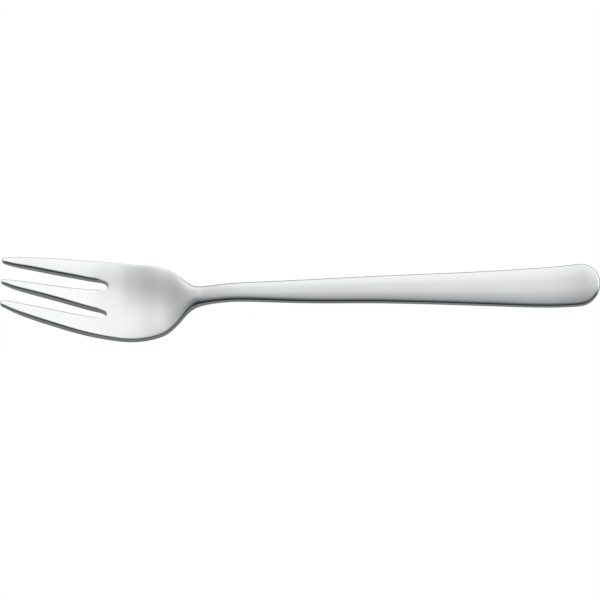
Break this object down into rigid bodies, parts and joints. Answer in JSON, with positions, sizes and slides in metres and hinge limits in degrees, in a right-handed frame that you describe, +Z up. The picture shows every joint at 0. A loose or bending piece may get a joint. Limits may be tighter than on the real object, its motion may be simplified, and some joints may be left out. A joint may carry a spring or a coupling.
{
  "type": "pastry fork",
  "caption": "Pastry fork stamped from one strip of steel, its left tine broader for cutting, with a slim neck and a flared, round-ended handle.",
  "frame": {"origin": "middle of the fork's box, on the table that it rests on", "axes": "+X along the fork from the tips to the handle's end, +Z up with the hollow side up, +Y to the side away from the broader cutting tine"},
  "size_m": [0.156, 0.023, 0.0172],
  "materials": {
    "steel": "satin stainless steel with a fine lengthwise grain and brighter, smoother edges"
  },
  "bodies": {
    "root": {"fork": "steel"}
  },
  "joints": []
}
